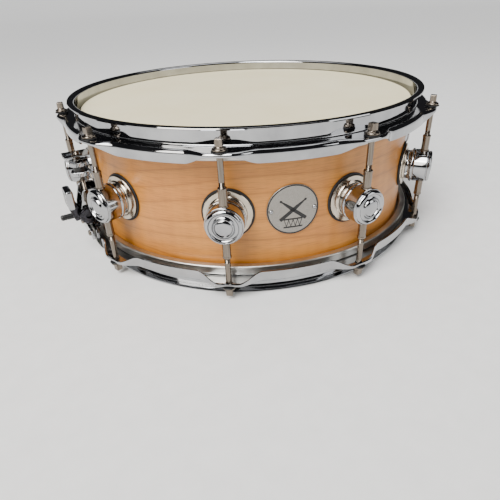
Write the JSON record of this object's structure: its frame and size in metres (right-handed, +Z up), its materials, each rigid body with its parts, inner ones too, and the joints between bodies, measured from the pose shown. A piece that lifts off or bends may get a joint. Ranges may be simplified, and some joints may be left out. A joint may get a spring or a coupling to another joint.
{
  "type": "snare drum",
  "caption": "Snare drum with a maple shell, flanged metal hoops, turret lugs, coated batter head, snare wires and a throw-off lever.",
  "frame": {"origin": "on the drum's axis, in the plane of the snare-side hoop's rim that it rests on", "axes": "+Z up through both heads, strainer towards -X, butt plate towards +X, one lug at -Y"},
  "size_m": [0.425, 0.4156, 0.1506],
  "materials": {
    "satin_maple": "satin clear lacquer",
    "coated_film": "matte sprayed coating",
    "clear_film": "hazy thin film",
    "aluminium_channel": "satin rolled",
    "chrome_plate": "mirror plated",
    "black_rubber": "moulded",
    "nickel_rod": "plated",
    "badge_metal": "satin",
    "black_nickel": "dark plated",
    "snare_wire_steel": "drawn wire",
    "strap_plastic": "milky film"
  },
  "bodies": {
    "drum": {"shell": "satin_maple", "batter_head": "coated_film", "batter_flesh_hoop": "aluminium_channel", "snare_side_head": "clear_film", "snare_side_flesh_hoop": "aluminium_channel", "batter_hoop": "chrome_plate", "snare_side_hoop": "chrome_plate", "turret_lug_01": "chrome_plate", "turret_lug_02": "chrome_plate", "turret_lug_03": "chrome_plate", "turret_lug_04": "chrome_plate", "turret_lug_05": "chrome_plate", "turret_lug_06": "chrome_plate", "turret_lug_07": "chrome_plate", "turret_lug_08": "chrome_plate", "turret_lug_09": "chrome_plate", "turret_lug_10": "chrome_plate", "lug_gasket_01": "black_rubber", "lug_gasket_02": "black_rubber", "lug_gasket_03": "black_rubber", "lug_gasket_04": "black_rubber", "lug_gasket_05": "black_rubber", "lug_gasket_06": "black_rubber", "lug_gasket_07": "black_rubber", "lug_gasket_08": "black_rubber", "lug_gasket_09": "black_rubber", "lug_gasket_10": "black_rubber", "badge": "badge_metal", "air_vent": "chrome_plate", "strainer_base": "chrome_plate", "lever_pivot_pin": "black_nickel", "butt_plate": "chrome_plate", "butt_clamp": "chrome_plate", "butt_strap": "strap_plastic"},
    "lever": {"strainer_lever": "chrome_plate"},
    "carriage": {"strainer_carriage": "chrome_plate", "strainer_clamp": "chrome_plate"},
    "tension_knob": {"snare_tension_knob": "black_nickel"},
    "wires": {"snare_wires": "snare_wire_steel", "strainer_strap": "strap_plastic"},
    "batter_rod_01": {"batter_tension_rod_01": "nickel_rod"},
    "batter_rod_02": {"batter_tension_rod_02": "nickel_rod"},
    "batter_rod_03": {"batter_tension_rod_03": "nickel_rod"},
    "batter_rod_04": {"batter_tension_rod_04": "nickel_rod"},
    "batter_rod_05": {"batter_tension_rod_05": "nickel_rod"},
    "batter_rod_06": {"batter_tension_rod_06": "nickel_rod"},
    "batter_rod_07": {"batter_tension_rod_07": "nickel_rod"},
    "batter_rod_08": {"batter_tension_rod_08": "nickel_rod"},
    "batter_rod_09": {"batter_tension_rod_09": "nickel_rod"},
    "batter_rod_10": {"batter_tension_rod_10": "nickel_rod"},
    "snare_side_rod_01": {"snare_side_tension_rod_01": "nickel_rod"},
    "snare_side_rod_02": {"snare_side_tension_rod_02": "nickel_rod"},
    "snare_side_rod_03": {"snare_side_tension_rod_03": "nickel_rod"},
    "snare_side_rod_04": {"snare_side_tension_rod_04": "nickel_rod"},
    "snare_side_rod_05": {"snare_side_tension_rod_05": "nickel_rod"},
    "snare_side_rod_06": {"snare_side_tension_rod_06": "nickel_rod"},
    "snare_side_rod_07": {"snare_side_tension_rod_07": "nickel_rod"},
    "snare_side_rod_08": {"snare_side_tension_rod_08": "nickel_rod"},
    "snare_side_rod_09": {"snare_side_tension_rod_09": "nickel_rod"},
    "snare_side_rod_10": {"snare_side_tension_rod_10": "nickel_rod"}
  },
  "joints": [
    {"name": "batter_rod_01_turn", "type": "hinge", "parent": "drum", "child": "batter_rod_01", "pos_m": [0, -0.1983, 0.1369], "axis": [0, 0, 1], "continuous": true},
    {"name": "batter_rod_02_turn", "type": "hinge", "parent": "drum", "child": "batter_rod_02", "pos_m": [0.11656, -0.16043, 0.1369], "axis": [0, 0, 1], "continuous": true},
    {"name": "batter_rod_03_turn", "type": "hinge", "parent": "drum", "child": "batter_rod_03", "pos_m": [0.18859, -0.06128, 0.1369], "axis": [0, 0, 1], "continuous": true},
    {"name": "batter_rod_04_turn", "type": "hinge", "parent": "drum", "child": "batter_rod_04", "pos_m": [0.18859, 0.06128, 0.1369], "axis": [0, 0, 1], "continuous": true},
    {"name": "batter_rod_05_turn", "type": "hinge", "parent": "drum", "child": "batter_rod_05", "pos_m": [0.11656, 0.16043, 0.1369], "axis": [0, 0, 1], "continuous": true},
    {"name": "batter_rod_06_turn", "type": "hinge", "parent": "drum", "child": "batter_rod_06", "pos_m": [0, 0.1983, 0.1369], "axis": [0, 0, 1], "continuous": true},
    {"name": "batter_rod_07_turn", "type": "hinge", "parent": "drum", "child": "batter_rod_07", "pos_m": [-0.11656, 0.16043, 0.1369], "axis": [0, 0, 1], "continuous": true},
    {"name": "batter_rod_08_turn", "type": "hinge", "parent": "drum", "child": "batter_rod_08", "pos_m": [-0.18859, 0.06128, 0.1369], "axis": [0, 0, 1], "continuous": true},
    {"name": "batter_rod_09_turn", "type": "hinge", "parent": "drum", "child": "batter_rod_09", "pos_m": [-0.18859, -0.06128, 0.1369], "axis": [0, 0, 1], "continuous": true},
    {"name": "batter_rod_10_turn", "type": "hinge", "parent": "drum", "child": "batter_rod_10", "pos_m": [-0.11656, -0.16043, 0.1369], "axis": [0, 0, 1], "continuous": true},
    {"name": "snare_side_rod_01_turn", "type": "hinge", "parent": "drum", "child": "snare_side_rod_01", "pos_m": [0, -0.1983, 0.0137], "axis": [0, 0, -1], "continuous": true},
    {"name": "snare_side_rod_02_turn", "type": "hinge", "parent": "drum", "child": "snare_side_rod_02", "pos_m": [0.11656, -0.16043, 0.0137], "axis": [0, 0, -1], "continuous": true},
    {"name": "snare_side_rod_03_turn", "type": "hinge", "parent": "drum", "child": "snare_side_rod_03", "pos_m": [0.18859, -0.06128, 0.0137], "axis": [0, 0, -1], "continuous": true},
    {"name": "snare_side_rod_04_turn", "type": "hinge", "parent": "drum", "child": "snare_side_rod_04", "pos_m": [0.18859, 0.06128, 0.0137], "axis": [0, 0, -1], "continuous": true},
    {"name": "snare_side_rod_05_turn", "type": "hinge", "parent": "drum", "child": "snare_side_rod_05", "pos_m": [0.11656, 0.16043, 0.0137], "axis": [0, 0, -1], "continuous": true},
    {"name": "snare_side_rod_06_turn", "type": "hinge", "parent": "drum", "child": "snare_side_rod_06", "pos_m": [0, 0.1983, 0.0137], "axis": [0, 0, -1], "continuous": true},
    {"name": "snare_side_rod_07_turn", "type": "hinge", "parent": "drum", "child": "snare_side_rod_07", "pos_m": [-0.11656, 0.16043, 0.0137], "axis": [0, 0, -1], "continuous": true},
    {"name": "snare_side_rod_08_turn", "type": "hinge", "parent": "drum", "child": "snare_side_rod_08", "pos_m": [-0.18859, 0.06128, 0.0137], "axis": [0, 0, -1], "continuous": true},
    {"name": "snare_side_rod_09_turn", "type": "hinge", "parent": "drum", "child": "snare_side_rod_09", "pos_m": [-0.18859, -0.06128, 0.0137], "axis": [0, 0, -1], "continuous": true},
    {"name": "snare_side_rod_10_turn", "type": "hinge", "parent": "drum", "child": "snare_side_rod_10", "pos_m": [-0.11656, -0.16043, 0.0137], "axis": [0, 0, -1], "continuous": true},
    {"name": "throw_off", "type": "hinge", "parent": "drum", "child": "lever", "pos_m": [-0.198, 0, 0.049], "axis": [0, -1, 0], "range_deg": [0, 55]},
    {"name": "carriage_slide", "type": "slide", "parent": "drum", "child": "carriage", "axis": [0, 0, -1], "range_m": [0, 0.00351]},
    {"name": "tension_knob_turn", "type": "hinge", "parent": "carriage", "child": "tension_knob", "pos_m": [-0.193, 0, 0.086], "axis": [0, 0, 1], "continuous": true},
    {"name": "wires_drop", "type": "hinge", "parent": "drum", "child": "wires", "pos_m": [0.159, 0, 0.01], "axis": [0, -1, 0], "range_deg": [0, 0.58]}
  ],
  "couplings": [
    {"joint": "carriage_slide", "follows": "throw_off", "m_per_rad": 0.0036461},
    {"joint": "wires_drop", "follows": "throw_off", "ratio": 0.010242}
  ]
}
